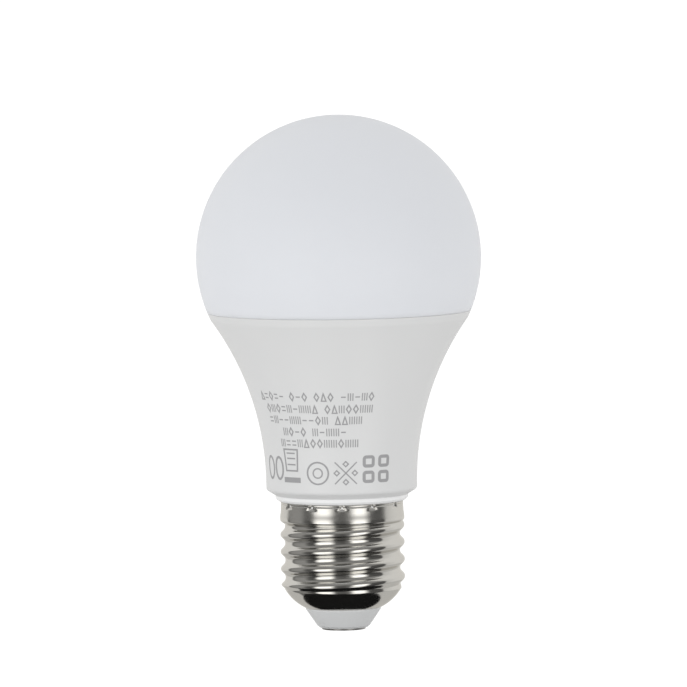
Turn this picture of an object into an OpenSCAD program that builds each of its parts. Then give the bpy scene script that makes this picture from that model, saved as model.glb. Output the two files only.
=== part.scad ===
// Smart LED light bulb: an opal globe on a flared housing and an E27 screw cap,
// with its LED board, driver and wireless module inside.
// The origin is the middle of the centre contact's face. +Z runs up the bulb's
// axis to the top of the globe, and the print side of the housing faces -Y.

/* [Envelope] */
// Diameter of the diffuser's globe
globe_d = 60; // [58:0.5:72]
// Length from the contact's face to the top of the globe
overall_len = 108.5; // [106:0.1:131]
// Height of the globe above the seam
dome_h = 41.3; // [40:0.1:42.5]

/* [Diffuser] */
// Wall of the opal diffuser
diffuser_wall = 1.25; // [1:0.05:1.6]
// Depth of the diffuser's neck inside the housing
neck_depth = 2.4; // [2:0.1:2.6]
// Wall of the diffuser's neck
neck_wall = 1.2; // [1:0.1:1.4]

/* [Housing] */
// Height of the rim band that carries on the globe's curve
rim_band = 1.6; // [1.2:0.1:2]
// Radius of the housing where it is narrowest
waist_r = 15.9; // [15.6:0.1:17]
// Height at which the flare starts
waist_z = 31; // [31:0.1:33]
// Height at which the collar's chamfer starts
chamfer_z = 29.8; // [29.6:0.1:30.4]
// Radius of the collar that covers the shell's edge
collar_r = 14.0; // [13.6:0.1:14.4]
// Wall of the housing
housing_wall = 1.4; // [1.2:0.1:1.6]
// Wall outside the pocket that takes the diffuser's neck
pocket_wall = 2.5; // [2.3:0.1:2.7]
// Radius of the housing's bore through the cap
spigot_bore_r = 10.2; // [10:0.1:10.4]

/* [Screw cap] */
// Outer radius of the thread's crest
crest_r = 13.08; // [13.0:0.01:13.2]
// Outer radius of the thread's root
root_r = 12.12; // [12.05:0.01:12.3]
// Thread pitch: seven turns to the inch
pitch = 3.629; // [3.6:0.001:3.66]
// Thickness of the shell's sheet
sheet = 0.3; // [0.25:0.01:0.32]
// Radius of the skirt above the thread
skirt_r = 13.1; // [13.1:0.01:13.2]
// Radius of the shell's band under the collar
band_r = 12.92; // [12.85:0.01:13]
// Height of the shell's top edge
shell_top = 27.3; // [27:0.1:27.6]
// Number of staking dimples
dimples = 12; // [8:1:16]
// Radius of the opening in the shell's bottom
mouth_r = 7.95; // [7.6:0.05:8.2]
// Radius of the centre contact
contact_r = 4.6; // [4.2:0.1:4.8]
// Thickness of the centre contact
contact_t = 0.5; // [0.4:0.05:0.6]

/* [Light engine] */
// Thickness of the liner's aluminium
liner_wall = 0.9; // [0.8:0.05:1.1]
// Inner radius of the liner's shelf
shelf_bore_r = 16; // [15:0.1:16.2]
// Thickness of the LED board
led_board_t = 1; // [0.8:0.1:1.2]
// Thickness of the thermal pad
pad_t = 0.3; // [0.2:0.05:0.5]
// Number of white LEDs, half of them cool and half warm
white_leds = 16; // [8:2:16]
// Radius of the ring of white LEDs
white_ring_r = 14.2; // [13.8:0.1:14.4]
// Number of colour LEDs
colour_led_count = 6; // [6:1:6]
// Radius of the ring of colour LEDs
colour_ring_r = 10.2; // [10:0.1:10.6]
// Number of screws in the LED board
screws = 3; // [2:1:6]
// Radius of the circle of screws
screw_ring_r = 18.4; // [18.2:0.1:18.6]

/* [Driver] */
// Thickness of the driver board
board_t = 1.2; // [1:0.1:1.2]
// Width of the driver board above the cap
board_w = 25; // [24:0.1:25.4]
// Width of the board's tail in the cap
tail_w = 18.6; // [18.4:0.1:19]
// Diameter of the high-voltage capacitor
bulk_d = 10; // [8:0.5:10]
// Length of the high-voltage capacitor
bulk_len = 16; // [12:0.5:16]
// Diameter of the output capacitor
output_d = 8; // [6:0.5:8]
// Length of the output capacitor
output_len = 11.5; // [9:0.5:11.5]
// Width of the wireless module's board
module_w = 15; // [14:0.5:15]
// Length of the wireless module's board
module_len = 24; // [23:0.5:25]
// Thickness of the wireless module's board
module_t = 0.8; // [0.6:0.1:0.9]

/* [Hidden] */
$fn = 96;

// Clearances, all measured per side
seat_gap = 0.03;      // between pieces that are glued, pressed or seated
slide_gap = 0.05;     // between pieces that slide together once
thread_gap = 0.15;    // between the housing's spigot and the rolled thread
hole_gap = 0.1;       // round a leg in its hole

// Globe and seam
globe_r = globe_d / 2;
globe_z = overall_len - globe_r;
seam_z = overall_len - dome_h;
seam_drop = dome_h - globe_r;
seam_r = sqrt(globe_r ^ 2 - seam_drop ^ 2);
kink_z = seam_z - rim_band;
kink_r = sqrt(globe_r ^ 2 - (seam_drop + rim_band) ^ 2);
seam_bevel = 0.3;     // bevel on the diffuser's edge, which shows as the seam line

// The flare is an arc that leaves the waist upright and ends at the rim band
flare_h = kink_z - waist_z;
flare_r = (flare_h ^ 2 + (kink_r - waist_r) ^ 2) / (2 * (kink_r - waist_r));
flare_x = waist_r + flare_r;
function flare_radius(z, inset) = flare_x - sqrt((flare_r + inset) ^ 2 - (z - waist_z) ^ 2);

// Pocket for the diffuser's neck
pocket_r = seam_r - pocket_wall;
pocket_floor = seam_z - neck_depth - 0.2;
snap_r = 0.25;        // radius of the neck's snap bead
snap_z = seam_z - neck_depth * 0.6;
neck_r = pocket_r - slide_gap;

// Inside of the housing
floor_z = chamfer_z + 0.4;
spigot_z = 10;
collar_z = 28.65;     // underside of the chamfer
collar_ledge = 0.1;   // width of the ledge under the chamfer
lip_in = 0.6;         // how far the lip is drawn in at its lower edge
lip_h = 0.4;
collar_spigot_z = 23.6;
spigot_r = root_r - sheet - thread_gap;
band_bore_r = band_r - sheet - seat_gap;
rail_h = 1;
rail_grip = 0.3;      // how far a rail reaches over the driver board's edge
groove_w = 0.8;       // groove in the spigot for the neutral lead
groove_depth = 0.75;
groove_top = 15.5;

// Liner, pad and LED board
liner_inset = housing_wall + seat_gap;
shelf_top = seam_z - 4.6;
shelf_t = 1;
pad_top = shelf_top + pad_t;
led_top = pad_top + led_board_t;
led_board_r = flare_radius(pad_top, housing_wall) - 0.25;
module_slot = 0.3;    // room round the module in the LED board's slot
connector_y = -1.9;
pin_pitch = 2;
pins = 5;
pin_w = 0.6;

// Screws
screw_r = 1.1;
screw_head_r = 2.1;
screw_head_h = 1.2;
screw_len = 3.3;

// Screw shell
skirt_z = 23.4;       // where the thread has died out into the skirt
thread_z = 8.6;       // where the thread meets the bowl
thread_phase = 18.35; // height of a crest on the +X side
thread_fade = 1.1;    // height over which the thread fades out at each end
crest_lean = 0.05;    // how much narrower the crests are than the roots
step_z = 24.8;        // the step from the skirt in to the band under the collar
band_z = 25.05;
bowl_r = 12.3;
bowl_arc = 10;        // radius of the bowl's rounding
bowl_mouth_z = 4.6;
around = 32;          // facets round the thread
up = 36;              // facets up the thread
dimple_r = 0.65;
dimple_z = 26.45;
dimple_depth = 0.37;

// Centre of the bowl's rounding, from the two ends of its arc
bowl_chord = [bowl_r - mouth_r, thread_z - bowl_mouth_z];
bowl_c = [(bowl_r + mouth_r) / 2, (thread_z + bowl_mouth_z) / 2]
    + [-bowl_chord.y, bowl_chord.x] / norm(bowl_chord)
    * sqrt(bowl_arc ^ 2 - (norm(bowl_chord) / 2) ^ 2);

// Insulator and contact
cone_top_z = 4.4;
cone_r = 5.6;         // radius where the cone's rounding ends
cone_z = 0.95;
insulator_top = 6.4;
stem_r = 1;
stem_top = 7;

// Driver board and its wireless module
face = board_t / 2;
leg_r = 0.3;
leg_out = 1;          // how far a leg stands out behind the board
leg_trim = 0.2;       // the same for a leg that is trimmed to clear a part behind it
tail_z = spigot_z - 0.2;
board_top = shelf_top - 4.6;
shoulder_z = floor_z + 0.4;
module_top = led_top + 8.6;
module_z = module_top - module_len;
module_y = face + slide_gap;
module_face = module_y + module_t;

// Where each component sits on the driver board
resistor_z = 14.5;
varistor_z = 20;
film_z = 27.1;
bridge_z = 13.5;
choke_z = 22.5;
chip_z = 30;
diode = [6.5, 34.8];
bulk = [-5.4, 33.5];
output = [6.6, board_top - 18.5];
transformer_z = 40;
regulator = [-8.6, board_top - 4.5];
channel_driver = [8.9, board_top - 4];
header_z = board_top - 2.75;
pin_foot_z = header_z - 1.85;
bend = 1.4;           // from a lying can's end to where its legs turn

// Distance of each component's legs from its middle
resistor_leg = 5.6;
varistor_leg = 2.5;
film_leg = 3.75;
choke_leg = 2;
diode_leg = 4;
bulk_leg = 2;
output_leg = 1.5;
bobbin_leg = 3.9;
bobbin_pin_pitch = 3;

// Through-hole legs: the X and Z of each
legs = concat(
    [for (s = [-1, 1]) [s * resistor_leg, resistor_z]],
    [for (s = [-1, 1]) [s * varistor_leg, varistor_z]],
    [for (s = [-1, 1]) [s * film_leg, film_z]],
    [for (s = [-1, 1]) [s * choke_leg, choke_z]],
    [for (s = [-1, 1]) [diode.x + s * diode_leg, diode.y]],
    [for (s = [-1, 1]) [bulk.x + s * bulk_leg, bulk.y - bend]],
    [for (s = [-1, 1]) [output.x + s * output_leg, output.y - bend]],
    [for (s = [-1, 1], k = [-1, 0, 1]) [s * bobbin_leg, transformer_z + k * bobbin_pin_pitch]]);

// The neutral lead lies against the back of the board and runs up a groove in the spigot
neutral_y = face + leg_r + slide_gap;

// Surface-mount parts on the board's two faces: X, Z and side (-1 front, 1 back)
resistor_spots = [[-6.5, 12, 1], [6.5, 12, 1], [-6.8, 15, 1], [6.8, 15, 1], [-6.8, 29, 1],
    [6.8, 29, 1], [10.5, 32.5, -1], [1.2, 40, -1], [1.2, 42, -1], [0.8, 50.5, -1], [-9, 51, 1]];
capacitor_spots = [[-6.8, 18.2, 1], [6.8, 18.2, 1], [-6, 31.5, 1], [6, 31.5, 1], [1.2, 45, -1],
    [10, 51, 1]];

// Routes of the two leads, as [across, height] in the plane each one lies in
live_route = [[0, 7.05], [0, 7.5], [-0.6, 8.3], [-1.25, 9.2], [-1.45, 10.2], [-1.4, 12]];
neutral_route = [[8, 12], [8, 10.4], [8.5, 9.2], [9.6, 8.95], [10.8, 9.2], [11.3, 10],
    [11.35, 11.5], [11.35, 15]];

// ---- shared shapes ----

// Solid of revolution about the bulb's axis
module turned(colour) {
    color(colour) rotate_extrude() children();
}

// Everything inside the flare, offset inward by inset, between two heights
module flare_profile(inset, z0, z1) {
    translate([0, z0]) square([waist_r - inset, waist_z - z0]);
    difference() {
        translate([0, waist_z]) square([globe_r, z1 - waist_z]);
        translate([flare_x, waist_z]) circle(r = flare_r + inset, $fn = 360);
    }
}

// Part of the bowl's rounded profile between its arc and an offset inward
module bowl_profile(inset, z0, z1) {
    intersection() {
        translate(bowl_c) circle(r = bowl_arc - inset, $fn = 180);
        translate([0, z0]) square([bowl_r - inset, z1 - z0]);
    }
}

// Copies the children round the axis
module ring(count, radius, turn = 0) {
    for (i = [0:count - 1]) rotate(turn + i * 360 / count) translate([radius, 0, 0]) children();
}

// Puts the children on the driver board's face: -1 is the front, 1 the back.
// The children stand in +Z from the face and have their own X along the board's X.
module on_board(x, z, side) {
    translate([x, side * face, z]) rotate([side < 0 ? 90 : -90, 0, 0]) children();
}

// A box centred on its base
module block(size) {
    translate([-size.x / 2, -size.y / 2, 0]) cube(size);
}

// A straight leg from a height above the board, through it and out behind it
module leg(x, height, out = leg_out) {
    translate([x, 0, -board_t - out]) cylinder(r = leg_r, h = board_t + out + height, $fn = 24);
}

// A leg that leaves a lying part's end, then turns into the board
module bent_leg(height, reach) {
    leg(0, height);
    translate([0, 0, height]) sphere(r = leg_r, $fn = 24);
    translate([0, 0, height]) rotate([-90, 0, 0]) cylinder(r = leg_r, h = reach, $fn = 24);
}

// The wire of an axial part, bent down at both ends into the board
module axial_legs(reach, height) {
    translate([-reach, 0, height]) rotate([0, 90, 0]) cylinder(r = leg_r, h = 2 * reach, $fn = 24);
    for (s = [-1, 1]) translate([s * reach, 0, height]) sphere(r = leg_r, $fn = 24);
    for (s = [-1, 1]) leg(s * reach, height);
}

// A small surface-mount chip: moulded body and gull legs on its two long sides
module chip(size, count) {
    translate([0, 0, 0.1]) block(size);
    for (s = [-1, 1], k = [0:count - 1])
        translate([s * (size.x / 2 + 0.45), (k - (count - 1) / 2) * size.y / count, 0])
            block([0.9, 0.4, 0.25]);
}

// A round tube swept along a flat route; side is the direction square to its plane
module lead(route, r, side, sides = 8) {
    n = len(route);
    function along(i) = route[min(i + 1, n - 1)] - route[max(i - 1, 0)];
    rings = [for (i = [0:n - 1], k = [0:sides - 1])
        let (t = along(i) / norm(along(i)), a = 360 * (k + 0.5) / sides,
            q = route[i] + r * cos(a) * [t.y, -t.x])
        side == "x" ? [r * sin(a), q.x, q.y] : [q.x, -r * sin(a), q.y]];
    polyhedron(rings, concat(
        [[for (k = [0:sides - 1]) k]],
        [[for (k = [sides - 1:-1:0]) (n - 1) * sides + k]],
        [for (i = [0:n - 2], k = [0:sides - 1]) let (a = i * sides, b = a + sides, m = (k + 1) % sides)
            each [[a + k, b + k, b + m], [a + k, b + m, a + m]]]));
}

// ---- outer pieces ----

module diffuser_dome() {
    turned("white") {
        difference() {
            translate([0, globe_z]) circle(r = globe_r, $fn = 360);
            translate([0, globe_z]) circle(r = globe_r - diffuser_wall, $fn = 360);
            translate([-globe_r - 1, globe_z - globe_r - 1])
                square([2 * globe_r + 2, globe_r + 1 - seam_drop]);
            translate([-globe_r - 1, seam_z - 1]) square([globe_r + 1, globe_r * 2 + 2]);
            translate([seam_r, seam_z]) rotate(45) square(seam_bevel, center = true);
        }
        translate([neck_r - neck_wall, seam_z - neck_depth]) square([neck_wall, neck_depth + diffuser_wall]);
        translate([neck_r - neck_wall, seam_z])
            square([seam_r - neck_r + neck_wall - diffuser_wall / 2, diffuser_wall]);
        translate([neck_r, snap_z]) circle(r = snap_r, $fn = 32);
    }
}

module diffuser_seal() {
    turned("lightgray")
        translate([flare_radius(pocket_floor, housing_wall) + 0.05, pocket_floor])
            square([neck_r - flare_radius(pocket_floor, housing_wall) - 0.05,
                seam_z - neck_depth - pocket_floor]);
}

// The globe's section between two heights
module globe_slice(z0, z1) {
    intersection() {
        translate([0, globe_z]) circle(r = globe_r, $fn = 360);
        translate([0, z0]) square([globe_r, z1 - z0]);
    }
}

// The flare below the rim band and the globe's curve above it. The two curves cross at the band's
// lower edge: a steeper flare is trimmed by the globe there, and a shallower one is joined to it.
module rim_profile() {
    if (flare_h / (flare_x - kink_r) > (seam_drop + rim_band) / kink_r)
        intersection() {
            flare_profile(0, chamfer_z, seam_z);
            union() {
                globe_slice(kink_z - 2 * rim_band, seam_z);
                translate([0, chamfer_z]) square([globe_r, kink_z - rim_band - chamfer_z]);
            }
        }
    else {
        flare_profile(0, chamfer_z, kink_z + rim_band / 2);
        globe_slice(kink_z - rim_band / 2, seam_z);
    }
}

module housing_body() {
    rotate_extrude() difference() {
        union() {
            rim_profile();
            polygon([[0, collar_z], [collar_r + collar_ledge, collar_z], [waist_r, chamfer_z],
                [0, chamfer_z]]);
            polygon([[0, shell_top], [collar_r - lip_in, shell_top], [collar_r - 0.05, shell_top + lip_h],
                [collar_r, collar_z], [0, collar_z]]);
            translate([0, collar_spigot_z]) square([band_bore_r, shell_top - collar_spigot_z]);
            translate([0, spigot_z]) square([spigot_r, collar_spigot_z - spigot_z]);
        }
        flare_profile(housing_wall, floor_z, pocket_floor);
        translate([0, spigot_z - 1]) square([spigot_bore_r, floor_z - spigot_z + 2]);
        translate([0, pocket_floor]) square([pocket_r, seam_z]);
        translate([pocket_r - seat_gap, snap_z]) circle(r = snap_r + slide_gap, $fn = 32);
    }
}

module housing() {
    color("white") {
        difference() {
            housing_body();
            intersection() {
                ring(dimples, band_r - dimple_depth + dimple_r, -90) translate([0, 0, dimple_z])
                    sphere(r = dimple_r + sheet + slide_gap, $fn = 32);
                cylinder(r = collar_r, h = shell_top - slide_gap);
            }
            translate([spigot_r - groove_depth, neutral_y - groove_w / 2, spigot_z - 1])
                cube([groove_depth + 1, groove_w, groove_top - spigot_z + 1]);
        }
        // rails that hold the driver board's tail
        for (sx = [0, 1], sy = [0, 1]) mirror([sx, 0, 0]) mirror([0, sy, 0])
            translate([tail_w / 2 - rail_grip, face + slide_gap, spigot_z])
                cube([spigot_bore_r + 0.3 - tail_w / 2 + rail_grip, rail_h, floor_z - spigot_z]);
    }
}

module heat_sink_liner() {
    color("silver") difference() {
        rotate_extrude() difference() {
            flare_profile(liner_inset, floor_z + seat_gap, shelf_top);
            flare_profile(liner_inset + liner_wall, floor_z - 1, shelf_top - shelf_t);
            translate([0, floor_z - 1]) square([shelf_bore_r, seam_z]);
        }
        ring(screws, screw_ring_r, 90) translate([0, 0, shelf_top - 2])
            cylinder(r = screw_r + seat_gap, h = 3, $fn = 32);
    }
}

module thermal_pad() {
    color("slategray") difference() {
        translate([0, 0, shelf_top]) cylinder(r = led_board_r - 0.4, h = pad_t);
        translate([0, 0, shelf_top - 1]) cylinder(r = shelf_bore_r + 0.2, h = pad_t + 2);
        ring(screws, screw_ring_r, 90) translate([0, 0, shelf_top - 1])
            cylinder(r = screw_r + 0.2, h = 3, $fn = 32);
    }
}

// ---- light engine ----

module led_board() {
    color("white") difference() {
        translate([0, 0, pad_top]) cylinder(r = led_board_r, h = led_board_t);
        ring(screws, screw_ring_r, 90) translate([0, 0, pad_top - 1])
            cylinder(r = screw_r + 0.15, h = 3, $fn = 32);
        translate([-module_w / 2 - module_slot, module_y - module_slot, pad_top - 1])
            cube([module_w + 2 * module_slot, module_t + 2 * module_slot, 3]);
        translate([-pins * pin_pitch / 2, connector_y - 0.6, pad_top - 1])
            cube([pins * pin_pitch, 1.2, 3]);
    }
}

// One white LED: a moulded frame with a phosphor window
module white_led() {
    translate([-1.4, -1.75, led_top]) cube([2.8, 3.5, 0.7]);
}

module cool_white_leds() {
    color("lightyellow") ring(white_leds / 2, white_ring_r, 180 / white_leds) white_led();
}

module warm_white_leds() {
    color("gold") ring(white_leds / 2, white_ring_r, 540 / white_leds) white_led();
}

module colour_leds() {
    color("whitesmoke") ring(colour_led_count, colour_ring_r) difference() {
        translate([-1.75, -1.75, led_top]) cube([3.5, 3.5, 1.4]);
        translate([0, 0, led_top + 0.7]) cylinder(r = 1.3, h = 1, $fn = 32);
    }
}

module led_board_screws() {
    color("silver") ring(screws, screw_ring_r, 90) difference() {
        union() {
            translate([0, 0, led_top]) cylinder(r = screw_head_r, h = screw_head_h * 0.6, $fn = 48);
            translate([0, 0, led_top + screw_head_h * 0.6])
                cylinder(r1 = screw_head_r, r2 = screw_head_r * 0.6, h = screw_head_h * 0.4, $fn = 48);
            translate([0, 0, led_top - screw_len]) cylinder(r = screw_r, h = screw_len, $fn = 32);
        }
        for (a = [0, 90]) rotate(a)
            translate([-0.9, -0.25, led_top + screw_head_h - 0.6]) cube([1.8, 0.5, 1]);
    }
}

module led_connector() {
    color("white") difference() {
        translate([-pins * pin_pitch / 2 - 1, connector_y - 1.9, led_top])
            cube([pins * pin_pitch + 2, 3.6, 2.7]);
        for (k = [0:pins - 1]) translate([(k - (pins - 1) / 2) * pin_pitch, connector_y, led_top - 1])
            block([pin_w + 0.2, pin_w + 0.2, 5]);
    }
}

module connector_strip() {
    color("black") difference() {
        translate([-pins * pin_pitch / 2, connector_y - 1.25, header_z])
            cube([pins * pin_pitch, -face - connector_y + 1.25, 2.5]);
        for (k = [0:pins - 1]) translate([(k - (pins - 1) / 2) * pin_pitch, connector_y, header_z - 1])
            block([pin_w + 0.04, pin_w + 0.04, 5]);
    }
}

module connector_pins() {
    color("gold") for (k = [0:pins - 1]) translate([(k - (pins - 1) / 2) * pin_pitch, connector_y, 0]) {
        translate([0, 0, pin_foot_z - pin_w / 2])
            block([pin_w, pin_w, led_top + 2.2 - pin_foot_z + pin_w / 2]);
        translate([-pin_w / 2, 0, pin_foot_z - pin_w / 2]) cube([pin_w, -connector_y + face - 0.1, pin_w]);
    }
}

// ---- driver board ----

module driver_board() {
    color("seagreen") difference() {
        union() {
            translate([-tail_w / 2, -face, tail_z]) cube([tail_w, board_t, board_top - tail_z]);
            translate([-board_w / 2, -face, shoulder_z]) cube([board_w, board_t, board_top - shoulder_z]);
        }
        for (p = legs) translate([p.x, face + 1, p.y]) rotate([90, 0, 0])
            cylinder(r = leg_r + hole_gap, h = board_t + 2, $fn = 24);
        for (k = [0:pins - 1]) translate([(k - (pins - 1) / 2) * pin_pitch, face + 1, pin_foot_z])
            rotate([90, 0, 0]) cylinder(r = pin_w, h = board_t + 2, $fn = 24);
    }
}

module fusible_resistor() {
    color("palegreen") on_board(0, resistor_z, -1) {
        translate([-4.25, 0, 1.9]) rotate([0, 90, 0]) cylinder(r = 1.6, h = 8.5, $fn = 48);
        axial_legs(resistor_leg, 1.9);
    }
}

module varistor() {
    color("royalblue") on_board(0, varistor_z, -1) {
        translate([0, 1.7, 4.9]) rotate([90, 0, 0]) cylinder(r = 3.5, h = 3.4, $fn = 48);
        for (s = [-1, 1]) leg(s * varistor_leg, 4, leg_trim);
    }
}

module film_capacitor() {
    color("orange") on_board(0, film_z, -1) {
        translate([0, 0, 0.3]) block([10, 5, 7.2]);
        for (s = [-1, 1]) leg(s * film_leg, 1);
    }
}

module bridge_rectifier() {
    color("dimgray") on_board(0, bridge_z, 1) chip([3.9, 4.7, 1.6], 2);
}

module line_choke_core() {
    color("darkslategray") on_board(0, choke_z, 1) {
        for (z = [0.4, 6.9]) translate([0, 0, z]) cylinder(r = 3.75, h = 1, $fn = 48);
        translate([0, 0, 0.4]) cylinder(r = 1.6, h = 7, $fn = 48);
        for (s = [-1, 1]) leg(s * choke_leg, 0.5);
    }
}

module line_choke_winding() {
    color("darkorange") on_board(0, choke_z, 1) difference() {
        translate([0, 0, 1.4 + seat_gap]) cylinder(r = 3.4, h = 5.5 - 2 * seat_gap, $fn = 48);
        cylinder(r = 1.6 + seat_gap, h = 9, $fn = 48);
    }
}

// A lying electrolytic can, with its rubber end towards -Z and its legs bent into the board
module lying_can(place, d, length, spread) {
    r = d / 2;
    translate([place.x, -face - 0.3 - r, place.y]) rotate_extrude($fn = 64) difference() {
        square([r, length]);
        translate([r + 0.25, 1.6]) circle(r = 0.5, $fn = 24);
    }
    for (s = [-1, 1]) translate([s * spread, 0, 0]) on_board(place.x, place.y - bend, -1)
        bent_leg(0.3 + r, bend + 0.5);
}

module bulk_capacitor() {
    color("midnightblue") lying_can(bulk, bulk_d, bulk_len, bulk_leg);
}

module output_capacitor() {
    color("darkgreen") lying_can(output, output_d, output_len, output_leg);
}

module driver_chip() {
    color("black") on_board(0, chip_z, 1) chip([3.9, 4.9, 1.4], 4);
}

module flyback_diode() {
    color("black") on_board(diode.x, diode.y, -1) {
        translate([-2.6, 0, 1.65]) rotate([0, 90, 0]) cylinder(r = 1.35, h = 5.2, $fn = 48);
        axial_legs(diode_leg, 1.65);
    }
}

// The transformer lies with its winding along X. Half sizes of its centre leg,
// its window and its outside:
core_leg = 2.2;
core_window = [4.3, 4.9];
core_half = [6.3, 6.7];
bobbin_wall = 0.6;
winding_t = 1.85;
transformer_y = 5.3;  // height of the winding's axis above the board
flange_t = 0.7;       // thickness of the bobbin's flanges

module transformer_place() {
    on_board(0, transformer_z, 1) translate([0, 0, transformer_y]) children();
}

// A box centred on the origin, from its half sizes
module slab(half) {
    translate(-half) cube(2 * half);
}

module transformer_core() {
    color("dimgray") transformer_place() difference() {
        slab([core_half.x, core_half.y, core_leg]);
        for (s = [-1, 1]) translate([0, s * (core_leg + core_window.y) / 2, 0])
            slab([core_window.x, (core_window.y - core_leg) / 2, core_leg + 1]);
    }
}

module transformer_bobbin() {
    tube = core_leg + slide_gap + bobbin_wall;
    flange = tube + winding_t + 0.05;
    color("ivory") {
        transformer_place() difference() {
            union() {
                slab([core_window.x - slide_gap, tube, tube]);
                for (s = [-1, 1]) translate([s * (core_window.x - slide_gap - flange_t / 2), 0, 0])
                    slab([flange_t / 2, flange, flange]);
            }
            slab([core_half.x, core_leg + slide_gap, core_leg + slide_gap]);
        }
        on_board(0, transformer_z, 1) for (s = [-1, 1]) {
            translate([s * (core_window.x - slide_gap - flange_t / 2), 0, 0.1]) block([flange_t, 8, 0.8]);
            for (k = [-1, 0, 1]) translate([0, k * bobbin_pin_pitch, 0]) leg(s * bobbin_leg, 0.5, leg_trim);
        }
    }
}

module transformer_winding() {
    tube = core_leg + slide_gap + bobbin_wall;
    color("gold") transformer_place() difference() {
        slab([core_window.x - slide_gap - flange_t - seat_gap, tube + winding_t, tube + winding_t]);
        slab([core_window.x, tube + seat_gap, tube + seat_gap]);
    }
}

module regulator_chip() {
    color("black") on_board(regulator.x, regulator.y, -1) chip([2.5, 4.5, 1.5], 3);
}

module channel_driver_chip() {
    color("black") on_board(channel_driver.x, channel_driver.y, -1) chip([3.9, 4.9, 1.4], 5);
}

module small_resistors() {
    color("black") for (p = resistor_spots) on_board(p.x, p.y, p.z) block([1.6, 0.8, 0.5]);
}

module small_capacitors() {
    color("tan") for (p = capacitor_spots) on_board(p.x, p.y, p.z) block([2, 1.25, 0.9]);
}

// ---- wireless module ----

module wireless_board() {
    color("midnightblue") translate([-module_w / 2, module_y, module_z])
        cube([module_w, module_t, module_len]);
}

// Puts the children on the module's face, standing out of it, at a height above its bottom edge
module on_module(x, up_from_bottom) {
    translate([x, module_face, module_z + up_from_bottom]) rotate([-90, 0, 0]) children();
}

module module_chip() {
    color("black") on_module(-1, 6) block([5, 5, 0.85]);
}

module module_crystal() {
    color("silver") on_module(4.6, 9.2) block([3.2, 2.5, 0.7]);
}

// A meander of copper across the module's top end
module antenna_trace() {
    turns = 5;
    step = 2.2;
    tall = 4.5;
    w = 0.6;
    color("goldenrod") on_module(0, module_len - 1.2 - tall / 2) {
        for (k = [0:turns]) translate([(k - turns / 2) * step, 0, 0]) block([w, tall, 0.05]);
        for (k = [0:turns - 1])
            translate([(k + 0.5 - turns / 2) * step, (k % 2 == 0 ? 1 : -1) * (tall - w) / 2, 0])
                block([step + w, w, 0.05]);
    }
}

// ---- screw cap ----

function ease(t) = let (u = max(0, min(1, t))) u * u * (3 - 2 * u);

// Outer radius of the rolled sheet at an angle and a height: a right-hand thread,
// its crests narrower than its roots, that grows out of the bowl and dies out into the skirt
function thread_radius(a, z) =
    let (turn = 360 * (z - thread_phase) / pitch - a,
        lean = cos(turn) + crest_lean * (cos(2 * turn) - 1),
        wave = lean * (1.25 - 0.25 * lean * lean),
        free = (crest_r + root_r) / 2 + wave * (crest_r - root_r) / 2,
        low = free + (bowl_r - free) * (1 - ease((z - thread_z) / thread_fade)))
    low + (skirt_r - low) * ease((z - skirt_z + thread_fade) / thread_fade);

// The end rings are drawn in a little, so that their corners and flats both land
// on the flat ends of the bowl and the skirt
module rolled_thread() {
    function ring_points(inset, draw_in) = [for (j = [0:up], i = [0:around - 1])
        let (z = thread_z + (skirt_z - thread_z) * j / up, a = 360 * i / around,
            r = thread_radius(a, z) - inset + (j == 0 || j == up ? draw_in : 0))
        [r * cos(a), r * sin(a), z]];
    function wall(first, out) = [for (j = [0:up - 1], i = [0:around - 1])
        let (m = (i + 1) % around, p = first + j * around, q = p + around)
        each (out ? [[p + i, q + m, p + m], [p + i, q + i, q + m]]
            : [[p + i, p + m, q + m], [p + i, q + m, q + i]])];
    n = around * (up + 1);
    top = around * up;
    rims = [for (i = [0:around - 1]) let (m = (i + 1) % around)
        each [[i, m, n + m], [i, n + m, n + i],
            [top + i, n + top + m, top + m], [top + i, n + top + i, n + top + m]]];
    flat_depth = skirt_r * (1 / cos(180 / around) - 1);
    polyhedron(concat(ring_points(0, -0.02), ring_points(sheet, flat_depth + 0.02)),
        concat(wall(0, true), wall(n, false), rims));
}

module screw_shell() {
    color("silver") difference() {
        union() {
            rolled_thread();
            rotate_extrude() difference() {
                bowl_profile(0, 0, thread_z);
                bowl_profile(sheet, 0, thread_z + 1);
                square([mouth_r, thread_z]);
            }
            rotate_extrude() polygon([[skirt_r - sheet, skirt_z], [skirt_r, skirt_z], [skirt_r, step_z],
                [band_r, band_z], [band_r, shell_top], [band_r - sheet, shell_top],
                [band_r - sheet, band_z], [skirt_r - sheet, step_z]]);
            intersection() {
                ring(dimples, band_r - dimple_depth + dimple_r, -90) translate([0, 0, dimple_z])
                    sphere(r = dimple_r + sheet, $fn = 32);
                translate([0, 0, band_z]) cylinder(r = band_r - sheet / 2, h = shell_top - band_z);
            }
        }
        ring(dimples, band_r - dimple_depth + dimple_r, -90) translate([0, 0, dimple_z])
            sphere(r = dimple_r, $fn = 32);
    }
}

module cap_insulator() {
    turned("whitesmoke") difference() {
        union() {
            polygon([[0, contact_t], [cone_r - 0.6, contact_t], [cone_r - 0.25, contact_t + 0.12],
                [cone_r, cone_z], [mouth_r, cone_top_z], [mouth_r - seat_gap, cone_top_z],
                [mouth_r - seat_gap, insulator_top], [0, insulator_top]]);
            bowl_profile(sheet + seat_gap, bowl_mouth_z + 0.1, insulator_top);
        }
        square([stem_r + slide_gap, insulator_top + 1]);
        translate([stem_r + 1.2, insulator_top - 1]) square([2.8, 2]);
    }
}

module centre_contact() {
    turned("silver") {
        square([contact_r - contact_t / 2, contact_t]);
        intersection() {
            translate([contact_r - contact_t / 2, contact_t / 2]) circle(r = contact_t / 2, $fn = 32);
            square([contact_r, contact_t]);
        }
        square([stem_r, stem_top]);
    }
}

module live_lead() {
    color("firebrick") lead(live_route, 0.65, "x");
}

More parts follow.
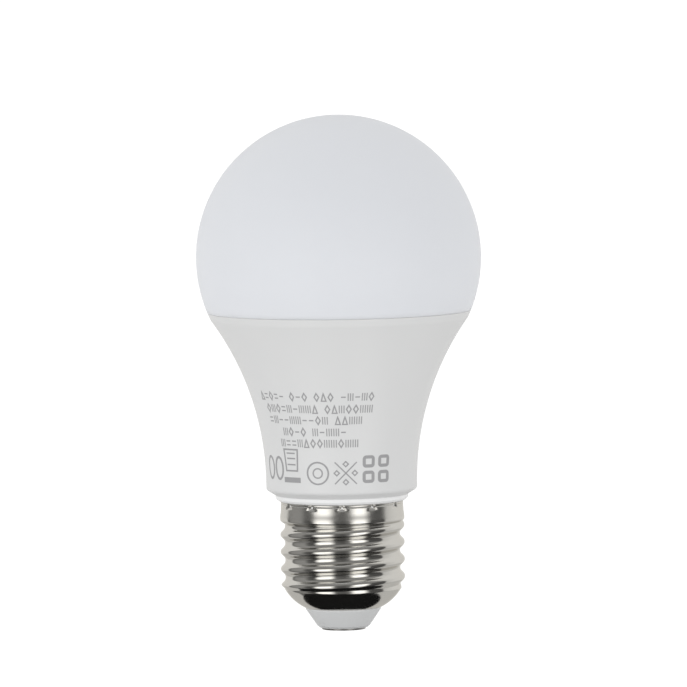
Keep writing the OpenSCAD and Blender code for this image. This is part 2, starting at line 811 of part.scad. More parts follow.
module neutral_lead() {
    color("silver") translate([0, neutral_y, 0]) lead(neutral_route, 0.3, "y");
}

diffuser_dome();
diffuser_seal();
housing();
heat_sink_liner();
thermal_pad();
led_board();
cool_white_leds();
warm_white_leds();
colour_leds();
led_board_screws();
led_connector();
connector_strip();
connector_pins();
driver_board();
fusible_resistor();
varistor();
film_capacitor();
bridge_rectifier();
line_choke_core();
line_choke_winding();
bulk_capacitor();
driver_chip();
flyback_diode();
transformer_core();
transformer_bobbin();
transformer_winding();
output_capacitor();
regulator_chip();
channel_driver_chip();
small_resistors();
small_capacitors();
wireless_board();
module_chip();
module_crystal();
antenna_trace();
screw_shell();
cap_insulator();
centre_contact();
live_lead();
neutral_lead();
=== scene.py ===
"""Smart light bulb: the looks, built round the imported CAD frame.

Every class of pieces is one sub-assembly. Its fields are its sizes in
millimetres and its methods build the meshes. Finish holds the recipe of each
material, and dress_nodes() gives the CAD nodes that stay theirs. Lengths are
turned into metres only where a mesh is made. The studio is in metres.
"""

import logging
import math
import random
from dataclasses import dataclass, field
from enum import Enum
from typing import Callable, Iterable, Sequence

import bmesh
import bpy
from mathutils import Matrix, Vector


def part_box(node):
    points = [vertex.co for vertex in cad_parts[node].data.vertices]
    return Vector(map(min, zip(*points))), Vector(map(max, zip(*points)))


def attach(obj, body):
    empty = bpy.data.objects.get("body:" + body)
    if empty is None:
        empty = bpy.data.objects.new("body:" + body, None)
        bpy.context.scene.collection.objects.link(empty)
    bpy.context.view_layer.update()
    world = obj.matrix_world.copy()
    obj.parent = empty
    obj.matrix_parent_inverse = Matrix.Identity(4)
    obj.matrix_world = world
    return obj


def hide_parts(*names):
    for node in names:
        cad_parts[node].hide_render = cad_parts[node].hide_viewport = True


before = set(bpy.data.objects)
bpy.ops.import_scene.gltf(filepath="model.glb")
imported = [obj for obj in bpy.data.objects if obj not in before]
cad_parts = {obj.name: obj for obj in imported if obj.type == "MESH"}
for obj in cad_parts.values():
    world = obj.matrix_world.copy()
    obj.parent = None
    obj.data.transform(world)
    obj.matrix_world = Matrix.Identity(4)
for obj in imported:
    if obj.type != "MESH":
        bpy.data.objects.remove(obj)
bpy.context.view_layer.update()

MM = 0.001
BODY = "root"
SEAM_EDGE = 0.12
log = logging.getLogger("bulb")

Point = tuple[float, float]
Colour = tuple[float, float, float]


# ---- shader maths


class Field:
    """A shader value that arithmetic can be written with."""

    def __init__(self, graph: "Graph", socket: bpy.types.NodeSocket) -> None:
        """Wraps one output socket of a graph's node."""
        self.graph = graph
        self.socket = socket

    def __add__(self, other: "Field | float") -> "Field":
        """Sum."""
        return self.graph.maths("ADD", self, other)

    def __radd__(self, other: float) -> "Field":
        """Sum with a number on the left."""
        return self.graph.maths("ADD", other, self)

    def __sub__(self, other: "Field | float") -> "Field":
        """Difference."""
        return self.graph.maths("SUBTRACT", self, other)

    def __rsub__(self, other: float) -> "Field":
        """Difference from a number."""
        return self.graph.maths("SUBTRACT", other, self)

    def __mul__(self, other: "Field | float") -> "Field":
        """Product."""
        return self.graph.maths("MULTIPLY", self, other)

    def __rmul__(self, other: float) -> "Field":
        """Product with a number on the left."""
        return self.graph.maths("MULTIPLY", other, self)

    def __truediv__(self, other: "Field | float") -> "Field":
        """Quotient."""
        return self.graph.maths("DIVIDE", self, other)


class Graph:
    """The node tree of one material, and the few ways in which nodes are added to it."""

    def __init__(self, name: str) -> None:
        """Starts a material with an output node and coordinates in millimetres.

        Args:
            name: Name of the material.
        """
        self.material = bpy.data.materials.new(name)
        self.material.use_nodes = True
        self.tree = self.material.node_tree
        self.tree.nodes.clear()
        self.output = self.tree.nodes.new("ShaderNodeOutputMaterial")
        spot = self.node("ShaderNodeTexCoord").outputs["Object"]
        self.place = self.node(
            "ShaderNodeVectorMath", {"operation": "SCALE"}, {0: spot, "Scale": 1 / MM}
        ).outputs[0]

    def node(
        self,
        kind: str,
        settings: dict[str, object] | None = None,
        sockets: dict[str | int, object] | None = None,
    ) -> bpy.types.Node:
        """Adds a node.

        Args:
            kind: The node's type name.
            settings: Properties of the node, such as its operation, or a ramp's stops.
            sockets: Input values or links, by the socket's name or number.

        Returns:
            The new node.
        """
        made = self.tree.nodes.new(kind)
        for key, value in (settings or {}).items():
            if key == "stops":
                self.set_stops(made.color_ramp, value)
            else:
                setattr(made, key, value)
        for key, value in (sockets or {}).items():
            if isinstance(value, Field):
                value = value.socket
            if isinstance(value, bpy.types.NodeSocket):
                self.tree.links.new(value, made.inputs[key])
            else:
                made.inputs[key].default_value = value
        return made

    @staticmethod
    def set_stops(ramp: bpy.types.ColorRamp, stops: Sequence[tuple[float, float]]) -> None:
        """Sets a ramp's stops from pairs of position and grey level.

        Args:
            ramp: The ramp of a new Color Ramp node, which has two stops.
            stops: Position and level of each stop, in order.
        """
        while len(ramp.elements) < len(stops):
            ramp.elements.new(1.0)
        for element, (position, level) in zip(ramp.elements, stops):
            element.position = position
            element.color = (level, level, level, 1.0)

    def maths(self, operation: str, a: "Field | float", b: "Field | float" = 0.0) -> Field:
        """Adds a Math node on two values."""
        return Field(self, self.node("ShaderNodeMath", {"operation": operation}, {0: a, 1: b}).outputs[0])

    def noise(self, size: float, detail: float = 3.0, stretch: Sequence[float] = (1, 1, 1)) -> Field:
        """Adds noise whose lumps are about a size across.

        Args:
            size: Size of the largest lumps, in millimetres.
            detail: How many finer octaves there are.
            stretch: How much longer the lumps are along X, Y and Z.

        Returns:
            The noise, from 0 to 1 and mostly near 0.5.
        """
        scaled = self.node(
            "ShaderNodeVectorMath",
            {"operation": "DIVIDE"},
            {0: self.place, 1: [size * s for s in stretch]},
        ).outputs[0]
        made = self.node("ShaderNodeTexNoise", None, {"Vector": scaled, "Scale": 1.0, "Detail": detail})
        return Field(self, made.outputs["Fac"])

    def axis(self, name: str) -> Field:
        """One coordinate of the surface, X, Y or Z, in millimetres."""
        return Field(self, self.node("ShaderNodeSeparateXYZ", None, {0: self.place}).outputs[name])

    def ramp(self, value: Field, *stops: tuple[float, float]) -> Field:
        """Maps a value through a ramp of grey stops."""
        made = self.node("ShaderNodeValToRGB", {"stops": stops}, {0: value})
        return Field(self, made.outputs["Color"])

    def mix(
        self, factor: Field, a: Colour | bpy.types.NodeSocket, b: Colour | bpy.types.NodeSocket
    ) -> bpy.types.NodeSocket:
        """Mixes two colours.

        Args:
            factor: 0 for the first colour, 1 for the second.
            a: The first colour, or its socket.
            b: The second colour, or its socket.

        Returns:
            The socket of the mixed colour.
        """
        first, second = (end if isinstance(end, bpy.types.NodeSocket) else (*end, 1.0) for end in (a, b))
        return self.node("ShaderNodeMix", {"data_type": "RGBA"}, {0: factor, 6: first, 7: second}).outputs[2]

    def window(self, value: Field, low: float, high: float, soft: float) -> Field:
        """1 between two values and 0 outside them, with soft edges.

        Args:
            value: The value to test.
            low: Lower edge.
            high: Upper edge.
            soft: Width of each edge.

        Returns:
            The window.
        """
        rise, fall = (
            self.node(
                "ShaderNodeMapRange",
                {"interpolation_type": "SMOOTHSTEP"},
                {0: value, 1: edge - soft / 2, 2: edge + soft / 2},
            ).outputs[0]
            for edge in (low, high)
        )
        return Field(self, rise) * (1 - Field(self, fall))

    def bump(self, height: Field, depth: float) -> bpy.types.NodeSocket:
        """Turns a height from 0 to 1 into a normal, for relief of a depth in millimetres."""
        made = self.node("ShaderNodeBump", None, {"Height": height, "Distance": depth * MM, "Strength": 1.0})
        return made.outputs["Normal"]

    def surface(self, **sockets: object) -> bpy.types.Material:
        """Ends the graph with a Principled shader.

        Args:
            **sockets: Values or links by socket name, with underscores for spaces.

        Returns:
            The finished material.
        """
        named = {key.replace("_", " "): value for key, value in sockets.items()}
        shader = self.node("ShaderNodeBsdfPrincipled", None, named)
        self.tree.links.new(shader.outputs[0], self.output.inputs[0])
        return self.material


def shade(colour: Colour, factor: float) -> Colour:
    """A colour made lighter or darker by a factor."""
    return tuple(min(1.0, c * factor) for c in colour)


# ---- finishes


@dataclass(frozen=True)
class Moulded:
    """Moulded plastic, lacquer or ceramic: mottled a little, with a fine grain.

    Below lip_z the colour is made lighter by a factor, painted light that stands in for light bounced onto the lip from
    the metal below. The default height leaves no lip.
    """

    colour: Colour
    rough: float = 0.4
    grain: float = 0.004
    grain_size: float = 0.35
    mottle: float = 0.03
    mottle_size: float = 6.0
    coat: float = 0.0
    gloss: float = 0.5
    glow: float = 0.0
    glow_depth: float = 2.0
    lip_z: float = -1000.0
    lip_soft: float = 0.25
    lip_bounce_light: float = 1.0

    def make(self, name: str) -> bpy.types.Material:
        """Builds the material, with painted light below the lip's height where it has one.

        Args:
            name: Name of the material.

        Returns:
            The material.
        """
        g = Graph(name)
        patches = g.noise(self.mottle_size, 2.0)
        fine = g.noise(self.grain_size, 2.0)
        low, high = shade(self.colour, 1 - self.mottle), shade(self.colour, 1 + self.mottle)
        # painted light: below the lip's height the colour is lightened to stand in for light bounced up from the metal
        # below
        lip = g.window(g.axis("Z"), -1.0, self.lip_z, self.lip_soft)
        body = g.mix(patches, low, high)
        pale = g.mix(patches, shade(low, self.lip_bounce_light), shade(high, self.lip_bounce_light))
        return g.surface(
            Base_Color=g.mix(lip, body, pale),
            Subsurface_Weight=self.glow,
            Subsurface_Scale=self.glow_depth * MM,
            Subsurface_Radius=(1.0, 1.0, 1.0),
            Roughness=self.rough + 0.1 * (patches - 0.5) + 0.06 * (fine - 0.5),
            Normal=g.bump(fine, self.grain),
            Specular_IOR_Level=self.gloss,
            Coat_Weight=self.coat,
            Coat_Roughness=0.12,
        )


@dataclass(frozen=True)
class Metal:
    """Bare or plated metal: faint handling marks, and scratches along one direction.

    Above satin_z it is rougher by satin. The default height leaves no satin part.
    """

    colour: Colour
    rough: float = 0.12
    scratch: float = 0.0006
    stretch: tuple[float, float, float] = (4.0, 4.0, 0.25)
    smear: float = 0.06
    smear_size: float = 5.0
    tarnish: float = 0.04
    edge: Colour = (1.0, 1.0, 1.0)
    satin_z: float = 1000.0
    satin_soft: float = 0.6
    satin: float = 0.0

    def make(self, name: str) -> bpy.types.Material:
        """Builds the material, duller above its satin height where it has one.

        Args:
            name: Name of the material.

        Returns:
            The material.
        """
        g = Graph(name)
        dull = self.satin * g.window(g.axis("Z"), self.satin_z, 2000.0, self.satin_soft)
        marks = g.noise(self.smear_size, 4.0)
        lines = g.noise(0.5, 3.0, self.stretch)
        return g.surface(
            Base_Color=g.mix(marks, shade(self.colour, 1 - self.tarnish), self.colour),
            Metallic=1.0,
            Specular_Tint=(*self.edge, 1.0),
            Roughness=self.rough + dull + self.smear * (marks - 0.5) + 0.03 * (lines - 0.5),
            Normal=g.bump(lines, self.scratch),
        )


@dataclass(frozen=True)
class SolderMask:
    """Lacquered circuit board: tracks show as a faint relief under the lacquer."""

    colour: Colour
    track: Colour
    pitch: float = 1.9
    rough: float = 0.35

    def make(self, name: str) -> bpy.types.Material:
        """Builds the material.

        Args:
            name: Name of the material.

        Returns:
            The material.
        """
        g = Graph(name)
        lanes = g.node("ShaderNodeTexBrick", {"offset": 0.5, "squash": 0.6}, {
            "Vector": g.node("ShaderNodeVectorMath", {"operation": "SCALE"},
                             {0: g.place, "Scale": 1 / self.pitch}).outputs[0],
            "Scale": 1.0, "Mortar Size": 0.16, "Mortar Smooth": 0.4, "Brick Width": 1.3, "Row Height": 0.8,
        })
        etched = Field(g, lanes.outputs["Fac"])
        weave = g.noise(0.6, 2.0)
        return g.surface(
            Base_Color=g.mix(etched, self.track, self.colour),
            Roughness=self.rough + 0.12 * (weave - 0.5),
            Normal=g.bump(0.8 * (1 - etched) + 0.2 * weave, 0.02),
            Coat_Weight=0.3,
            Coat_Roughness=0.2,
        )


@dataclass(frozen=True)
class Banded:
    """A round part with painted bands along one axis."""

    colour: Colour
    band: Colour
    axis: str
    edges: tuple[float, ...]
    width: float
    rough: float = 0.35

    def make(self, name: str) -> bpy.types.Material:
        """Builds the material.

        Args:
            name: Name of the material.

        Returns:
            The material.
        """
        g = Graph(name)
        along = g.axis(self.axis)
        bands = None
        for middle in self.edges:
            near = g.maths("LESS_THAN", g.maths("ABSOLUTE", along - middle), self.width / 2)
            bands = near if bands is None else g.maths("MAXIMUM", bands, near)
        fine = g.noise(0.4, 2.0)
        return g.surface(
            Base_Color=g.mix(bands, self.colour, self.band),
            Roughness=self.rough + 0.1 * (fine - 0.5),
            Normal=g.bump(fine, 0.01),
        )


class Finish(Enum):
    """The bulb's finishes. Each value is the recipe that make() turns into a material."""

    OPAL = Moulded((0.645, 0.66, 0.69), 0.6, 0.0015, 0.5, 0.004, 12.0, glow=0.5)
    # the housing's lip is painted lighter, standing in for light the nickel shell bounces up onto it
    HOUSING = Moulded((0.612, 0.615, 0.615), 0.42, 0.003, 0.3, 0.006, 9.0, gloss=0.4, lip_z=28.5, lip_bounce_light=1.28)
    SEALANT = Moulded((0.75, 0.75, 0.73), 0.3, 0.01, 1.2)
    SPUN_ALUMINIUM = Metal((0.78, 0.79, 0.8), 0.32, 0.003, (6.0, 6.0, 0.15), 0.1)
    GAP_PAD = Moulded((0.3, 0.36, 0.45), 0.6, 0.02, 0.3, 0.1, 1.5)
    LED_BOARD = SolderMask((0.82, 0.82, 0.8), (0.86, 0.86, 0.84), 3.4)
    LED_FRAME = Moulded((0.82, 0.82, 0.8), 0.4, 0.003, 0.2)
    COOL_PHOSPHOR = Moulded((0.85, 0.8, 0.3), 0.35, 0.01, 0.08, 0.06, 0.6)
    WARM_PHOSPHOR = Moulded((0.88, 0.5, 0.08), 0.35, 0.01, 0.08, 0.06, 0.6)
    SCREW_STEEL = Metal((0.7, 0.7, 0.7), 0.2, 0.002, (1, 1, 1))
    CONNECTOR = Moulded((0.78, 0.76, 0.7), 0.45)
    BLACK_MOULDING = Moulded((0.022, 0.022, 0.024), 0.5, 0.012, 0.15, 0.2, 1.0)
    PIN_GOLD = Metal((0.85, 0.62, 0.25), 0.16)
    DRIVER_BOARD = SolderMask((0.012, 0.11, 0.045), (0.03, 0.2, 0.08))
    RESISTOR = Banded((0.16, 0.35, 0.22), (0.35, 0.12, 0.03), "X", (-2.6, -1.2, 0.2, 2.6), 0.6)
    VARISTOR = Moulded((0.02, 0.06, 0.3), 0.25, 0.02, 0.8, 0.08, 2.0, 0.4)
    FILM_BOX = Moulded((0.7, 0.35, 0.03), 0.4)
    FERRITE = Moulded((0.045, 0.045, 0.05), 0.55, 0.02, 0.25, 0.15, 0.8)
    COPPER = Metal((0.7, 0.27, 0.1), 0.22, 0.002, (1, 1, 1))
    BULK_SLEEVE = Banded((0.01, 0.012, 0.03), (0.55, 0.56, 0.58), "X", (-10.3,), 1.4, 0.25)
    OUTPUT_SLEEVE = Banded((0.01, 0.06, 0.035), (0.6, 0.6, 0.55), "X", (10.4,), 1.3, 0.25)
    BOBBIN = Moulded((0.72, 0.66, 0.5), 0.45)
    TAPE = Moulded((0.75, 0.55, 0.06), 0.22, 0.01, 1.5, 0.05, 2.5, 0.3)
    RESISTOR_CHIP = Banded((0.02, 0.02, 0.022), (0.6, 0.6, 0.58), "Y", (0.0,), 0.01)
    CERAMIC = Moulded((0.4, 0.26, 0.14), 0.4, 0.01, 0.2)
    MODULE_BOARD = SolderMask((0.012, 0.03, 0.14), (0.03, 0.07, 0.25), 1.3)
    CRYSTAL = Metal((0.75, 0.74, 0.7), 0.25)
    ANTENNA = Metal((0.85, 0.65, 0.3), 0.2)
    NICKEL = Metal((0.66, 0.652, 0.628), 0.12, 0.0004, (6.0, 6.0, 0.2), 0.05, 3.5, 0.06, (0.85, 0.84, 0.82),
                   satin_z=23.9, satin=0.1)
    CAP_PLASTIC = Moulded((0.63, 0.638, 0.64), 0.42, 0.004, 0.3, 0.02, 4.0, gloss=0.3)
    CONTACT = Metal((0.3, 0.295, 0.29), 0.4, 0.002, (1, 1, 1))
    LIVE_WIRE = Moulded((0.45, 0.015, 0.01), 0.3)
    TINNED = Metal((0.72, 0.72, 0.7), 0.2)
    PRINT = Moulded((0.3, 0.3, 0.305), 0.5, 0.002, 0.2, 0.05, 1.5)

    def material(self) -> bpy.types.Material:
        """The finish's material, built on first use."""
        name = f"{self.name.lower()}_finish"
        return bpy.data.materials.get(name) or self.value.make(name)


# ---- mesh making


def add_object(name: str, data: bpy.types.ID) -> bpy.types.Object:
    """Adds an object to the scene.

    Args:
        name: Its name.
        data: Its mesh, light or camera.

    Returns:
        The object.
    """
    made = bpy.data.objects.new(name, data)
    bpy.context.scene.collection.objects.link(made)
    return made


def new_piece(name: str, mesh: bpy.types.Mesh, finish: Finish, smooth: float = 35.0) -> bpy.types.Object:
    """Makes a piece of the bulb from a mesh in metres.

    Args:
        name: Name of the piece.
        mesh: The mesh, in the bulb's frame.
        finish: The finish of its first material slot.
        smooth: Edges sharper than this angle in degrees stay crisp.

    Returns:
        The piece, riding on the bulb's body.
    """
    mesh.shade_smooth()
    mesh.set_sharp_from_angle(angle=math.radians(smooth))
    piece = add_object(name, mesh)
    piece.data.materials.append(finish.material())
    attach(piece, BODY)
    log.info("%s: %d faces, %s", name, len(mesh.polygons), finish.name.lower())
    return piece


def mesh_of(name: str, points: Iterable[Sequence[float]], faces: Iterable[Sequence[int]]) -> bpy.types.Mesh:
    """Makes a mesh from points in millimetres and faces, with its faces turned outward.

    Args:
        name: Name of the mesh.
        points: The corners.
        faces: Corner numbers of each face.

    Returns:
        The mesh, in metres.
    """
    mesh = bpy.data.meshes.new(name)
    mesh.from_pydata([Vector(p) * MM for p in points], [], list(faces))
    bm = bmesh.new()
    bm.from_mesh(mesh)
    bmesh.ops.remove_doubles(bm, verts=bm.verts, dist=1e-7)
    bmesh.ops.recalc_face_normals(bm, faces=bm.faces)
    bm.to_mesh(mesh)
    bm.free()
    return mesh


def arc(centre: Point, radius: float, start: float, end: float, steps: int) -> list[Point]:
    """Points along an arc.

    Args:
        centre: Centre of the arc.
        radius: Its radius.
        start: Angle of its first point, in degrees.
        end: Angle of its last point, in degrees.
        steps: Number of straight stretches.

    Returns:
        The points, both ends included.
    """
    angles = [math.radians(start + (end - start) * k / steps) for k in range(steps + 1)]
    return [(centre[0] + radius * math.cos(a), centre[1] + radius * math.sin(a)) for a in angles]


def rounded(corners: Sequence[Sequence[float]], steps: int = 5) -> list[Point]:
    """Rounds the corners of a closed outline.

    Args:
        corners: Each corner as (r, z) or as (r, z, radius of its rounding).
        steps: Straight stretches in each rounding.

    Returns:
        The outline's points.
    """
    points: list[Point] = []
    for k, corner in enumerate(corners):
        here = Vector(corner[:2])
        if len(corner) < 3:
            points.append(tuple(here))
            continue
        before = (Vector(corners[k - 1][:2]) - here).normalized()
        after = (Vector(corners[(k + 1) % len(corners)][:2]) - here).normalized()
        half = before.angle(after) / 2
        middle = here + (before + after).normalized() * corner[2] / math.sin(half)
        first = here + before * corner[2] / math.tan(half) - middle
        turn = math.pi - 2 * half
        sense = 1 if first.x * (here - middle).y - first.y * (here - middle).x > 0 else -1
        for i in range(steps + 1):
            angle = sense * turn * i / steps
            c, s = math.cos(angle), math.sin(angle)
            points.append((middle.x + first.x * c - first.y * s, middle.y + first.x * s + first.y * c))
    return points


def polar(radius: float, angle: float, z: float) -> tuple[float, float, float]:
    """A point from its radius, its angle in radians and its height."""
    return radius * math.cos(angle), radius * math.sin(angle), z


def loft(name: str, rings: Sequence[Sequence[Sequence[float]]], steps: int) -> bpy.types.Mesh:
    """Joins closed rings of points into one skin, and the last ring to the first.

    Args:
        name: Name of the mesh.
        rings: The rings. A ring of one point is a pole.
        steps: Points in each full ring.

    Returns:
        The mesh.
    """
    points: list[Sequence[float]] = []
    numbers: list[list[int]] = []
    for ring in rings:
        numbers.append([len(points) + i % len(ring) for i in range(steps)])
        points += ring
    faces = []
    for k, low in enumerate(numbers):
        high = numbers[(k + 1) % len(numbers)]
        if low[0] == low[1] and high[0] == high[1]:
            continue
        for i in range(steps):
            j = (i + 1) % steps
            faces.append(list(dict.fromkeys((low[i], low[j], high[j], high[i]))))
    return mesh_of(name, points, faces)


def lathe(name: str, outline: Sequence[Point], segments: int = 256) -> bpy.types.Mesh:
    """Turns a closed outline round the bulb's axis.

    Args:
        name: Name of the mesh.
        outline: Points as (r, z) in millimetres. Points on the axis become poles.
        segments: Steps round the axis.

    Returns:
        The mesh.
    """
    turns = [2 * math.pi * i / segments for i in range(segments)]
    rings = [[polar(r, a, z) for a in turns] if r >= 1e-6 else [(0, 0, z)] for r, z in outline]
    return loft(name, rings, segments)


def ease(t: float) -> float:
    """A smooth step from 0 to 1."""
    t = max(0.0, min(1.0, t))
    return t * t * (3 - 2 * t)


# ---- outer pieces


@dataclass
class Globe:
    """The globe's sphere, which the diffuser and the housing's rim share."""

    low: Vector = field(default_factory=lambda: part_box("diffuser_dome")[0] / MM)
    high: Vector = field(default_factory=lambda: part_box("diffuser_dome")[1] / MM)
    seam_z: float = field(default_factory=lambda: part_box("housing")[1].z / MM)

    @property
    def radius(self) -> float:
        """Radius of the globe."""
        return min(self.high.x - self.low.x, self.high.y - self.low.y) / 2

    @property
    def middle(self) -> float:
        """Height of the globe's centre."""
        return self.high.z - self.radius

    def radius_at(self, z: float, inset: float = 0.0) -> float:
        """Radius of the globe at a height, or of a sphere inset from it."""
        return math.sqrt((self.radius - inset) ** 2 - (z - self.middle) ** 2)


@dataclass
class Diffuser:
    """The opal globe, with the stepped neck that snaps into the housing."""

    globe: Globe
    wall: float = 1.25
    neck_r: float = 25.24
    neck_wall: float = 1.2
    snap: float = 0.25

    def outline(self) -> list[Point]:
        """The section of the diffuser, from the top of the globe round to its inside.

        Returns:
            The outline's points.
        """
        g, seam = self.globe, self.globe.seam_z
        edge_z = seam + SEAM_EDGE
        start = math.degrees(math.asin((edge_z - g.middle) / g.radius))
        outer = arc((0, g.middle), g.radius, 90, start, 60)
        low = g.low.z
        flange = seam + self.wall
        inner_start = math.degrees(math.asin((flange - g.middle) / (g.radius - self.wall)))
        seam_edge = g.radius_at(seam) - 0.16
        snap_z = seam - 0.6 * (seam - low)
        return rounded(
            outer
            + [(seam_edge + SEAM_EDGE, seam + 0.03), (seam_edge, seam), (self.neck_r, seam)]
            + arc((self.neck_r, snap_z), self.snap, 90, -90, 6)
            + [(self.neck_r, low, 0.2), (self.neck_r - self.neck_wall, low, 0.2)]
            + [(self.neck_r - self.neck_wall, flange)]
            + arc((0, g.middle), g.radius - self.wall, inner_start, 90, 40)
        )

    def build(self) -> None:
        """Makes the diffuser in place of its CAD node."""
        piece = new_piece("opal_diffuser", lathe("opal_diffuser", self.outline()), Finish.OPAL)
        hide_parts("diffuser_dome")


@dataclass
class Housing:
    """The flared white housing, its collar and the spigot inside the cap."""

    globe: Globe
    rim_band: float = 1.6
    waist_r: float = 15.9
    waist_z: float = 31.0
    chamfer_z: float = 29.75
    collar_z: float = 28.65
    collar_r: float = 14.0
    wall: float = 1.4
    lip_z: float = 27.3
    spigot: tuple[float, float] = (12.58, 23.6)
    tail: tuple[float, float] = (11.67, 10.0)
    bore_r: float = 10.2
    floor_z: float = 30.2
    pocket_r: float = 25.29
    pocket_z: float = 64.6

    @property
    def kink_z(self) -> float:
        """Height at which the rim band meets the flare."""
        return self.globe.seam_z - self.rim_band

    @property
    def flare(self) -> float:
        """Radius of the flare's arc, which leaves the waist upright."""
        rise, out = self.kink_z - self.waist_z, self.globe.radius_at(self.kink_z) - self.waist_r
        return (rise**2 + out**2) / (2 * out)

    def radius_at(self, z: float, inset: float = 0.0) -> float:
        """Radius of the housing's surface at a height, or of one offset inward.

        Args:
            z: Height.
            inset: Distance inward from the surface.

        Returns:
            The radius.
        """
        if z < self.waist_z:
            return self.waist_r - inset
        return self.waist_r + self.flare - math.sqrt((self.flare + inset) ** 2 - (z - self.waist_z) ** 2)

    def flare_points(self, inset: float, low: float, high: float, steps: int) -> list[Point]:
        """Points up the flare between two heights, offset inward."""
        heights = [low + (high - low) * k / steps for k in range(steps + 1)]
        return [(self.radius_at(z, inset), z) for z in heights]

    def outline(self) -> list[Point]:
        """The section of the housing, up its outside and down its inside.

        Returns:
            The outline's points.
        """
        g, seam = self.globe, self.globe.seam_z
        tail_r, tail_z = self.tail
        spigot_r, spigot_z = self.spigot
        low_angle = math.degrees(math.asin((self.kink_z - g.middle) / g.radius))
        high_angle = math.degrees(math.asin((seam - SEAM_EDGE - g.middle) / g.radius))
        outside = [
            (self.bore_r, tail_z, 0.2), (tail_r, tail_z, 0.3), (tail_r, spigot_z), (spigot_r, spigot_z, 0.2),
            (spigot_r, self.lip_z), (self.collar_r - 0.75, self.lip_z, 0.1),
            (self.collar_r - 0.1, self.lip_z + 0.5, 0.3), (self.collar_r, self.collar_z - 0.1, 0.1),
            (self.collar_r + 0.15, self.collar_z, 0.15), (self.waist_r, self.chamfer_z, 0.9),
            (self.waist_r, self.waist_z),
        ]
        inside = [
            (self.pocket_r, seam, 0.1), (self.pocket_r, self.pocket_z),
            (self.radius_at(self.pocket_z, self.wall), self.pocket_z),
        ]
        floor = [(self.waist_r - self.wall, self.floor_z, 0.4), (self.bore_r, self.floor_z, 0.3)]
        return rounded(
            outside
            + self.flare_points(0, self.waist_z, self.kink_z, 72)[1:-1]
            + arc((0, g.middle), g.radius, low_angle, high_angle, 6)
            + [(g.radius_at(seam) - 0.14, seam)]
            + inside
            + self.flare_points(self.wall, self.pocket_z, self.waist_z, 24)[1:]
            + floor
        )

    def build(self) -> None:
        """Makes the housing in place of its CAD node."""
        mesh = lathe("flared_housing", self.outline())
        piece = new_piece("flared_housing", mesh, Finish.HOUSING, 28.0)
        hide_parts("housing")


class Mark(Enum):
    """The plain marks that stand in place of text."""

    DIAMOND = "diamond"
    BARS = "bars"
    TWIN = "twin"
    PEAK = "peak"
    DASH = "dash"


MARK_MIX = (Mark.DIAMOND, Mark.BARS, Mark.TWIN, Mark.BARS, Mark.PEAK, Mark.DIAMOND, Mark.DASH)


